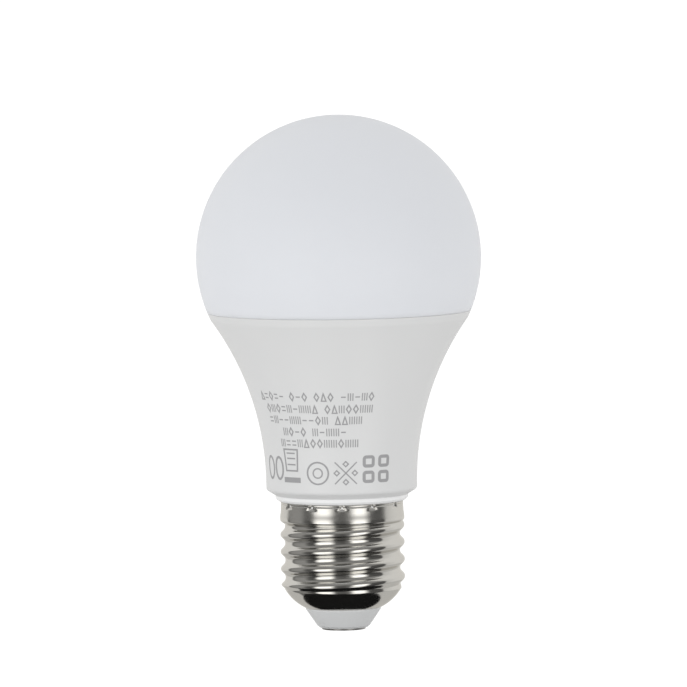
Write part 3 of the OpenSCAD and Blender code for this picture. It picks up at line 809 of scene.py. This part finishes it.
@dataclass
class RatingPrint:
    """Grey pad print on the housing: rows of plain marks in place of text, and plain signs under them.

    A row is a height, the azimuth of its start and its words' lengths. A sign is an azimuth and a height.
    """

    housing: Housing
    stroke: float = 0.27
    proud: float = 0.02
    cap: float = 1.9
    pitch: float = 1.5
    rows: tuple[tuple[float, float, tuple[int, ...]], ...] = (
        (50.4, -60.5, (5, 3, 3, 5)), (47.8, -57.0, (9, 7)), (45.4, -57.0, (10, 4)), (42.9, -45.0, (4, 5)),
        (40.5, -49.0, (12,)),
    )
    word_gap: float = 0.8
    draw_step: float = 0.45
    seed: int = 5
    rings: tuple[Point, ...] = ((-65.5, 35.0), (-54.0, 35.0))
    box: Point = (-40.5, 36.9)
    bar: Point = (-40.5, 32.65)
    target: Point = (-18.2, 34.2)
    cross: Point = (3.2, 34.25)
    tiles: Point = (27.0, 34.95)
    points: list[Vector] = field(default_factory=list)
    faces: list[tuple[int, ...]] = field(default_factory=list)

    def on_surface(self, azimuth: float, z: float, lift: float) -> Vector:
        """A point on the housing, lifted off it.

        Args:
            azimuth: Angle in radians, 0 at the front and positive to the right.
            z: Height.
            lift: Distance off the surface.

        Returns:
            The point.
        """
        r = self.housing.radius_at(z) + lift
        return Vector((r * math.sin(azimuth), -r * math.cos(azimuth), z))

    def ribbon(self, spot: Point, path: Sequence[Point], width: float, closed: bool = False) -> None:
        """Prints a line of a constant width.

        Args:
            spot: Azimuth in degrees and height of the drawing's origin.
            path: The line's points, in millimetres across and up from the origin.
            width: Its width.
            closed: Whether its end joins its start.
        """
        ends = list(path[1:]) + ([path[0]] if closed else [])
        fine: list[Vector] = []
        for a, b in zip(path, ends):
            start, run = Vector(a), Vector(b) - Vector(a)
            count = max(1, round(run.length / self.draw_step))
            fine += [start + run * k / count for k in range(count)]
        if not closed:
            fine.append(Vector(path[-1]))
        n, first = len(fine), len(self.points)
        turn, middle = math.radians(spot[0]), self.housing.radius_at(spot[1])
        for k, here in enumerate(fine):
            before = here - fine[k - 1] if closed or k else fine[1] - here
            after = fine[(k + 1) % n] - here if closed or k < n - 1 else before
            mean = (before.normalized() + after.normalized()).normalized()
            side = Vector((-mean.y, mean.x))
            reach = width / 2 / max(0.5, side.dot(Vector((-before.y, before.x)).normalized()))
            for edge, lift in ((1, 1), (1, -1), (-1, -1), (-1, 1)):
                spot_at = here + side * reach * edge
                self.points.append(self.on_surface(turn + spot_at.x / middle, spot[1] + spot_at.y, self.proud * lift))
        for k in range(n if closed else n - 1):
            a, b = first + 4 * k, first + 4 * ((k + 1) % n)
            self.faces += [(a + i, a + (i + 1) % 4, b + (i + 1) % 4, b + i) for i in range(4)]
        if not closed:
            last = first + 4 * (n - 1)
            self.faces += [tuple(first + i for i in range(4)), tuple(last + 3 - i for i in range(4))]

    def mark(self, spot: Point, kind: Mark) -> None:
        """Prints one of the plain marks that a row is made of.

        Args:
            spot: Azimuth in degrees and height of the mark's middle.
            kind: Which mark.
        """
        w, h, s = 0.42 * self.pitch - self.stroke / 2, self.cap / 2 - self.stroke / 2, self.stroke
        if kind is Mark.DIAMOND:
            self.ribbon(spot, [(-w, 0), (0, -h), (w, 0), (0, h)], s, True)
        elif kind is Mark.PEAK:
            self.ribbon(spot, [(-w, -h), (w, -h), (0, h)], s, True)
        elif kind is Mark.BARS:
            for x in (-w, 0, w):
                self.ribbon(spot, [(x, -h), (x, h)], s * 0.8)
        else:
            for y in (0,) if kind is Mark.DASH else (-0.5 * h, 0.5 * h):
                self.ribbon(spot, [(-w, y), (w, y)], s)

    def ellipse(self, spot: Point, across: float, up: float, width: float, sides: int = 28) -> None:
        """Prints a ring.

        Args:
            spot: Azimuth in degrees and height of its middle.
            across: Half its width.
            up: Half its height.
            width: Width of its line.
            sides: Number of sides.
        """
        turns = [math.tau * k / sides for k in range(sides)]
        self.ribbon(spot, [(across * math.cos(t), up * math.sin(t)) for t in turns], width, True)

    def signs(self) -> None:
        """Prints the plain signs under the rows."""
        for spot in self.rings:
            self.ellipse(spot, 1.2, 2.3, 0.5)
        self.ribbon(self.box, [(-1.5, -2.3), (1.5, -2.3), (1.8, 2.2), (-1.8, 2.2)], 0.35, True)
        for y in (-1.0, 0.3, 1.4):
            self.ribbon(self.box, [(-1.1, y), (1.1, y)], 0.3)
        self.ribbon(self.bar, [(-2.2, 0), (2.2, 0)], 1.1)
        for radius, width in ((2.3, 0.36), (1.0, 0.3)):
            self.ellipse(self.target, radius, radius, width)
        for lean in (-1, 1):
            self.ribbon(self.cross, [(-2.3 * lean, -2.3), (2.3 * lean, 2.3)], 0.26)
        for x, y in ((-1.9, 0), (1.9, 0), (0, -1.9), (0, 1.9)):
            diamond = [(x - 0.55, y), (x, y - 0.55), (x + 0.55, y), (x, y + 0.55)]
            self.ribbon(self.cross, diamond, 0.26, True)
        for i in (-1, 1):
            for j in (-1, 1):
                x, y = 1.75 * i, 1.62 * j
                corners = ((-1, -0.95), (1, -0.95), (1, 0.95), (-1, 0.95))
                square = rounded([(x + across, y + up, 0.4) for across, up in corners], 3)
                self.ribbon(self.tiles, square, 0.68, True)

    def build(self) -> None:
        """Makes the print as one thin piece on the housing."""
        chance = random.Random(self.seed)
        for z, start, words in self.rows:
            r = self.housing.radius_at(z)
            x = self.pitch / 2
            for word in words:
                for _ in range(word):
                    self.mark((start + math.degrees(x / r), z), chance.choice(MARK_MIX))
                    x += self.pitch
                x += self.pitch * self.word_gap
        self.signs()
        mesh = mesh_of("rating_print", self.points, self.faces)
        new_piece("rating_print", mesh, Finish.PRINT)


@dataclass
class ScrewCap:
    """The rolled E27 shell, its insulator and the centre contact.

    The shell's rows of points are a count up the bowl, and steps up the thread and the band.
    """

    crest: float = 13.08
    root: float = 12.12
    pitch: float = 3.629
    crest_z: float = 18.35
    lean: float = 0.05
    sheet: float = 0.3
    skirt: float = 13.1
    band: float = 12.92
    thread_z: float = 8.6
    skirt_z: float = 23.4
    step_z: float = 23.7
    band_z: float = 25.4
    curl_z: float = 26.7
    top: float = 27.3
    bowl: float = 12.3
    bowl_arc: float = 10.0
    mouth: Point = (7.95, 4.6)
    dimples: int = 12
    dimple_z: float = 26.5
    dimple_r: float = 0.72
    dimple_depth: float = 0.4
    dimple_half: float = math.radians(3.3)
    dimple_steps: int = 18
    plain_steps: int = 12
    fade: float = 1.1
    groove_half: float = 0.16
    groove_depth: float = 0.1
    edge_height: float = 0.3
    edge_turn: float = 0.12
    outer_rows: tuple[int, float, float] = (26, 0.1, 0.075)
    inner_rows: tuple[int, float, float] = (8, 0.3, 0.15)

    def wave(self, turn: float) -> float:
        """The thread's form over one turn: a narrow rounded crest and a wide flat root.

        Args:
            turn: Phase in radians, 0 at the crest.

        Returns:
            1 at the crest, down to -1 in the root.
        """
        f = math.cos(turn) + self.lean * (math.cos(2 * turn) - 1)
        return f * (1.25 - 0.25 * f * f)

    def thread_r(self, angle: float, z: float) -> float:
        """Outer radius of the thread, which grows out of the bowl and dies into the skirt.

        Args:
            angle: Angle round the axis, in radians.
            z: Height.

        Returns:
            The radius.
        """
        phase = 2 * math.pi * (z - self.crest_z) / self.pitch - angle
        free = (self.crest + self.root) / 2 + self.wave(phase) * (self.crest - self.root) / 2
        low = free + (self.bowl - free) * (1 - ease((z - self.thread_z) / self.fade))
        return low + (self.skirt - low) * ease((z - self.skirt_z + self.fade) / self.fade)

    def band_radius(self, angle: float, z: float) -> float:
        """Outer radius of the skirt and the band, with its dimples and turned-in edge.

        Args:
            angle: Angle round the axis, in radians.
            z: Height.

        Returns:
            The radius.
        """
        radius = self.skirt + (self.band - self.skirt) * ease((z - self.step_z) / (self.band_z - self.step_z))
        radius -= self.groove_depth * max(0.0, 1 - abs(z - self.curl_z) / self.groove_half)
        radius -= self.edge_turn * ease((z - self.top + self.edge_height) / self.edge_height) ** 2
        step = 2 * math.pi / self.dimples
        off = (angle + math.pi / 2 + step / 2) % step - step / 2
        across, up = abs(off) * self.band, z - self.dimple_z
        spot = max(-up, 0.5 * up + 0.87 * across, 0.25 * across + 0.75 * up) / self.dimple_r
        return radius - self.dimple_depth * max(0.0, 1 - spot)

    def bowl_centre(self) -> Vector:
        """Centre of the bowl's rounding, from the two ends of its arc.

        Returns:
            The centre, as radius and height.
        """
        low, high = Vector(self.mouth), Vector((self.bowl, self.thread_z))
        chord = high - low
        across = Vector((-chord.y, chord.x)).normalized()
        return (low + high) / 2 + across * math.sqrt(self.bowl_arc**2 - (chord.length / 2) ** 2)

    def rows(self, inner: bool) -> list[Callable[[float], Point]]:
        """The shell's rows from its mouth to its top edge.

        Args:
            inner: True for the inside of the sheet, which has fewer rows.

        Returns:
            For each row, a function from angle to (r, z).
        """
        sheet = self.sheet if inner else 0.0
        centre = self.bowl_centre()
        ends = [math.atan2(z - centre.y, r - centre.x) for r, z in (self.mouth, (self.bowl, self.thread_z))]
        made: list[Callable[[float], Point]] = []
        bowl_rows, thread_step, band_step = self.inner_rows if inner else self.outer_rows
        for k in range(bowl_rows):
            a = ends[0] + (ends[1] - ends[0]) * k / bowl_rows
            r, z = centre.x + self.bowl_arc * math.cos(a), centre.y + self.bowl_arc * math.sin(a)
            made.append(lambda angle, r=r - sheet * math.cos(a), z=z - sheet * math.sin(a): (r, z))
        count = round((self.skirt_z - self.thread_z) / thread_step)
        for k in range(count):
            z = self.thread_z + (self.skirt_z - self.thread_z) * k / count
            made.append(lambda angle, z=z: (self.thread_r(angle, z) - sheet, z))
        count = round((self.top - self.skirt_z) / band_step)
        for k in range(count + 1):
            z = self.skirt_z + (self.top - self.skirt_z) * k / count
            made.append(lambda angle, z=z: (self.band_radius(angle, z) - sheet, z))
        return made

    def angles(self) -> list[float]:
        """Angles round the shell, closer together across each dimple.

        Returns:
            The angles, in radians.
        """
        step = 2 * math.pi / self.dimples
        near = self.dimple_half
        close = [-near + 2 * near * k / self.dimple_steps for k in range(self.dimple_steps)]
        wide = [near + (step - 2 * near) * k / self.plain_steps for k in range(self.plain_steps)]
        return [step * i - math.pi / 2 + a for i in range(self.dimples) for a in close + wide]

    def build_shell(self) -> None:
        """Makes the rolled shell in place of its CAD node."""
        angles = self.angles()
        rows = self.rows(False) + list(reversed(self.rows(True)))
        rings = [[polar(r, a, z) for a in angles for r, z in [row(a)]] for row in rows]
        mesh = loft("rolled_shell", rings, len(angles))
        piece = new_piece("rolled_shell", mesh, Finish.NICKEL, 50.0)
        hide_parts("screw_shell")

    def build_insulator(self) -> None:
        """Makes the insulating cone in place of its CAD node."""
        mouth_r = self.mouth[0] - 0.03
        outline = rounded([
            (1.05, 0.5), (4.85, 0.5, 0.1), (5.0, 0.42, 0.08), (5.55, 0.85, 0.6), (mouth_r, 4.32, 0.1), (mouth_r, 4.95),
            (9.4, 5.95), (9.75, 6.4, 0.1), (5.4, 6.4, 0.15), (5.4, 5.4, 0.2), (2.2, 5.4, 0.2),
            (2.2, 6.4, 0.15), (1.05, 6.4),
        ])
        piece = new_piece("insulating_cone", lathe("insulating_cone", outline), Finish.CAP_PLASTIC, 30.0)
        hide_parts("cap_insulator")

    def build_contact(self) -> None:
        """Makes the centre contact in place of its CAD node."""
        outline = rounded([
            (0.0, 0.0), (1.5, 0.0), (1.9, 0.04), (4.6, 0.04, 0.06), (4.6, 0.5, 0.03), (1.0, 0.5, 0.05),
            (1.0, 7.0, 0.2), (0.0, 7.0),
        ])
        piece = new_piece("contact_disc", lathe("contact_disc", outline, 128), Finish.CONTACT)
        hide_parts("centre_contact")

    def build(self) -> None:
        """Makes the cap's three pieces."""
        self.build_shell()
        self.build_insulator()
        self.build_contact()


# ---- studio


@dataclass
class Studio:
    """A pale floor, soft light, and the camera.

    walls are azimuths and levels round the drum. strips are two edges and their softness in degrees, and a reach
    is two heights and their softness in millimetres.
    """

    aim: tuple[float, float, float] = (0.79, 0.0, 60.3)
    elevation: float = 4.0
    distance: float = 2.0
    lens: float = 498.0
    sensor: float = 36.0
    roll: float = 0.82
    floor_z: float = -0.3
    floor_half: float = 30.0
    key_power: float = 6.4
    key_size: Point = (1.0, 0.8)
    key_place: tuple[float, float, float] = (-0.95, -1.7, -0.12)
    drum_r: float = 0.95
    drum_low: float = -0.28
    drum_high: float = 1.2
    drum_steps: int = 96
    drum_power: float = 2.6
    foot_r: float = 0.055
    foot_place: Point = (-0.004, -0.045)
    foot_steps: int = 64
    ceiling: float = 0.12
    ceiling_reach: tuple[float, float, float] = (350, 5000, 500)
    strips: tuple[tuple[float, float, float], ...] = ((-53, -20, 16), (19, 47, 15))
    strip_level: float = 1.15
    strip_reach: tuple[float, float, float] = (-260, 230, 200)
    dim_reach: tuple[float, float, float] = (-100, 260, 60)
    base_reach: tuple[float, float, float] = (-1000, -240, 80)
    walls: tuple[Point, ...] = (
        (-180, 0.36), (-124, 0.35), (-119, 0.06), (-110, 0.13), (-84, 0.14), (-72, 0.05), (-58, 0.03), (-46, 0.03),
        (-14, 0.06), (2, 0.045), (16, 0.09), (46, 0.045), (60, 0.035), (85, 0.04), (88, 0.28), (118, 0.34), (180, 0.36),
    )

    def build(self) -> None:
        """Sets up the world, the floor, the light and the camera."""
        scene = bpy.context.scene
        scene.view_settings.view_transform = "Standard"
        self.camera(scene)
        self.sky(scene)
        self.floor()
        self.surround()
        self.foot()
        self.key()

    def camera(self, scene: bpy.types.Scene) -> None:
        """Adds the camera, in front of the bulb and a little above it.

        Args:
            scene: The scene that it looks at.
        """
        data = bpy.data.cameras.new("camera")
        data.lens, data.sensor_width = self.lens, self.sensor
        data.clip_start, data.clip_end = 0.01, 100.0
        camera = add_object("camera", data)
        e = math.radians(self.elevation)
        back = Vector((0, -math.cos(e), math.sin(e)))
        camera.location = Vector(self.aim) * MM + back * self.distance
        look = (-back).to_track_quat("-Z", "Y")
        camera.rotation_mode = "QUATERNION"
        camera.rotation_quaternion = look @ Matrix.Rotation(math.radians(-self.roll), 3, "Z").to_quaternion()
        scene.camera = camera

    def sky(self, scene: bpy.types.Scene) -> None:
        """Makes the white surround that lights the bulb evenly.

        Args:
            scene: The scene that it surrounds.
        """
        world = bpy.data.worlds.new("white_surround")
        world.use_nodes = True
        background = world.node_tree.nodes["Background"]
        background.inputs["Color"].default_value = (1.0, 1.0, 1.0, 1.0)
        background.inputs["Strength"].default_value = 1.0
        scene.world = world

    def card(self, name: str, points: list[Vector], faces: list[tuple[int, ...]]) -> bpy.types.Object:
        """Adds a studio card that shows only in reflections.

        Args:
            name: Name of the card.
            points: Its corners, in metres.
            faces: Its faces.

        Returns:
            The card, without a material.
        """
        mesh = bpy.data.meshes.new(name)
        mesh.from_pydata(points, [], faces)
        card = add_object(name, mesh)
        card.visible_camera = card.visible_diffuse = card.visible_shadow = False
        card.visible_transmission = card.visible_volume_scatter = False
        return card

    def floor(self) -> None:
        """Adds the pale floor."""
        mesh = bpy.data.meshes.new("floor")
        half = self.floor_half
        corners = [(x * half, y * half, self.floor_z) for x, y in ((-1, -1), (1, -1), (1, 1), (-1, 1))]
        mesh.from_pydata(corners, [], [(0, 1, 2, 3)])
        floor = add_object("floor", mesh)
        g = Graph("pale_floor")
        tone = g.noise(400.0, 2.0)
        mesh.materials.append(g.surface(
            Base_Color=g.mix(tone, (0.8, 0.8, 0.8), (0.82, 0.82, 0.82)),
            Roughness=0.9,
            Specular_IOR_Level=0.0,
            Emission_Color=(1.0, 1.0, 1.0, 1.0),
            Emission_Strength=0.3,
        ))

    def surround(self) -> None:
        """Adds the drum that the nickel reflects: dark, with two soft strips and pale sides."""
        steps = self.drum_steps
        points = [
            Vector(polar(self.drum_r, math.tau * k / steps, z))
            for k in range(steps) for z in (self.drum_low, self.drum_high)
        ]
        faces = [(2 * k, 2 * k + 1, (2 * k + 3) % (2 * steps), (2 * k + 2) % (2 * steps)) for k in range(steps)]
        faces += [tuple(range(0, 2 * steps, 2)), tuple(range(1, 2 * steps, 2))]
        g = Graph("surround")
        turn = g.maths("ARCTAN2", g.axis("X"), 0 - g.axis("Y")) * (180 / math.pi)
        place = turn / 360 + 0.5
        walls = g.ramp(place, *((0.5 + angle / 360, level) for angle, level in self.walls))
        height = g.axis("Z")
        left, right = (g.window(turn, *edges) for edges in self.strips)
        strips = (left + right) * g.window(height, *self.strip_reach) * (1 - 0.5 * g.window(height, *self.dim_reach))
        above = g.window(height, *self.ceiling_reach)
        walls = walls * (1 - 0.25 * g.window(height, *self.base_reach))
        level = g.maths("MAXIMUM", walls, self.ceiling * above) + self.strip_level * strips
        card = self.card("surround", points, faces)
        card.data.materials.append(g.surface(
            Base_Color=(0.0, 0.0, 0.0, 1.0),
            Specular_IOR_Level=0.0,
            Emission_Color=g.mix(level, (0.0, 0.0, 0.0), (1.0, 0.985, 0.955)),
            Emission_Strength=self.drum_power,
        ))

    def foot(self) -> None:
        """Adds the dark disc under the contact, which the bowl of the cap reflects."""
        radius, (x, z) = self.foot_r, self.foot_place
        turns = [math.tau * k / self.foot_steps for k in range(self.foot_steps)]
        rim = [Vector((radius * math.cos(t) + x, radius * math.sin(t), z)) for t in turns]
        card = self.card("dark_foot", rim, [tuple(range(self.foot_steps))])
        card.visible_diffuse = True
        g = Graph("black_cloth")
        card.data.materials.append(g.surface(Base_Color=(0.01, 0.01, 0.01, 1.0), Specular_IOR_Level=0.0))

    def key(self) -> None:
        """Adds the soft key light, in front and to the left."""
        data = bpy.data.lights.new("soft_key", "AREA")
        data.shape, data.energy = "RECTANGLE", self.key_power
        data.size, data.size_y = self.key_size
        lamp = add_object("soft_key", data)
        lamp.location = Vector(self.key_place)
        lamp.rotation_mode = "QUATERNION"
        lamp.rotation_quaternion = (Vector(self.aim) * MM - lamp.location).to_track_quat("-Z", "Y")
        lamp.visible_glossy = False


NODE_FINISHES: dict[str, Finish] = {
    "diffuser_seal": Finish.SEALANT, "heat_sink_liner": Finish.SPUN_ALUMINIUM, "thermal_pad": Finish.GAP_PAD,
    "led_board": Finish.LED_BOARD, "cool_white_leds": Finish.COOL_PHOSPHOR, "warm_white_leds": Finish.WARM_PHOSPHOR,
    "colour_leds": Finish.LED_FRAME, "led_board_screws": Finish.SCREW_STEEL, "led_connector": Finish.CONNECTOR,
    "connector_strip": Finish.BLACK_MOULDING, "connector_pins": Finish.PIN_GOLD, "driver_board": Finish.DRIVER_BOARD,
    "fusible_resistor": Finish.RESISTOR, "varistor": Finish.VARISTOR, "film_capacitor": Finish.FILM_BOX,
    "bridge_rectifier": Finish.BLACK_MOULDING, "line_choke_core": Finish.FERRITE, "line_choke_winding": Finish.COPPER,
    "bulk_capacitor": Finish.BULK_SLEEVE, "driver_chip": Finish.BLACK_MOULDING, "flyback_diode": Finish.BLACK_MOULDING,
    "transformer_core": Finish.FERRITE, "transformer_bobbin": Finish.BOBBIN, "transformer_winding": Finish.TAPE,
    "output_capacitor": Finish.OUTPUT_SLEEVE, "regulator_chip": Finish.BLACK_MOULDING,
    "channel_driver_chip": Finish.BLACK_MOULDING, "small_resistors": Finish.RESISTOR_CHIP,
    "small_capacitors": Finish.CERAMIC, "wireless_board": Finish.MODULE_BOARD, "module_chip": Finish.BLACK_MOULDING,
    "module_crystal": Finish.CRYSTAL, "antenna_trace": Finish.ANTENNA, "live_lead": Finish.LIVE_WIRE,
    "neutral_lead": Finish.TINNED,
}


def dress_nodes() -> None:
    """Gives each CAD node that stays in view its finish."""
    for name, finish in NODE_FINISHES.items():
        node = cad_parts[name]
        for place in node.material_slots:
            place.material = finish.material()
        log.info("%s: %s", name, finish.name.lower())


def main() -> None:
    """Builds the bulb and its studio."""
    logging.basicConfig(level=logging.INFO, format="%(name)s: %(message)s")
    random.seed(27)
    globe = Globe()
    Studio().build()
    Diffuser(globe).build()
    housing = Housing(globe)
    housing.build()
    RatingPrint(housing).build()
    ScrewCap().build()
    dress_nodes()
    bpy.context.view_layer.update()


if __name__ == "__main__":
    main()
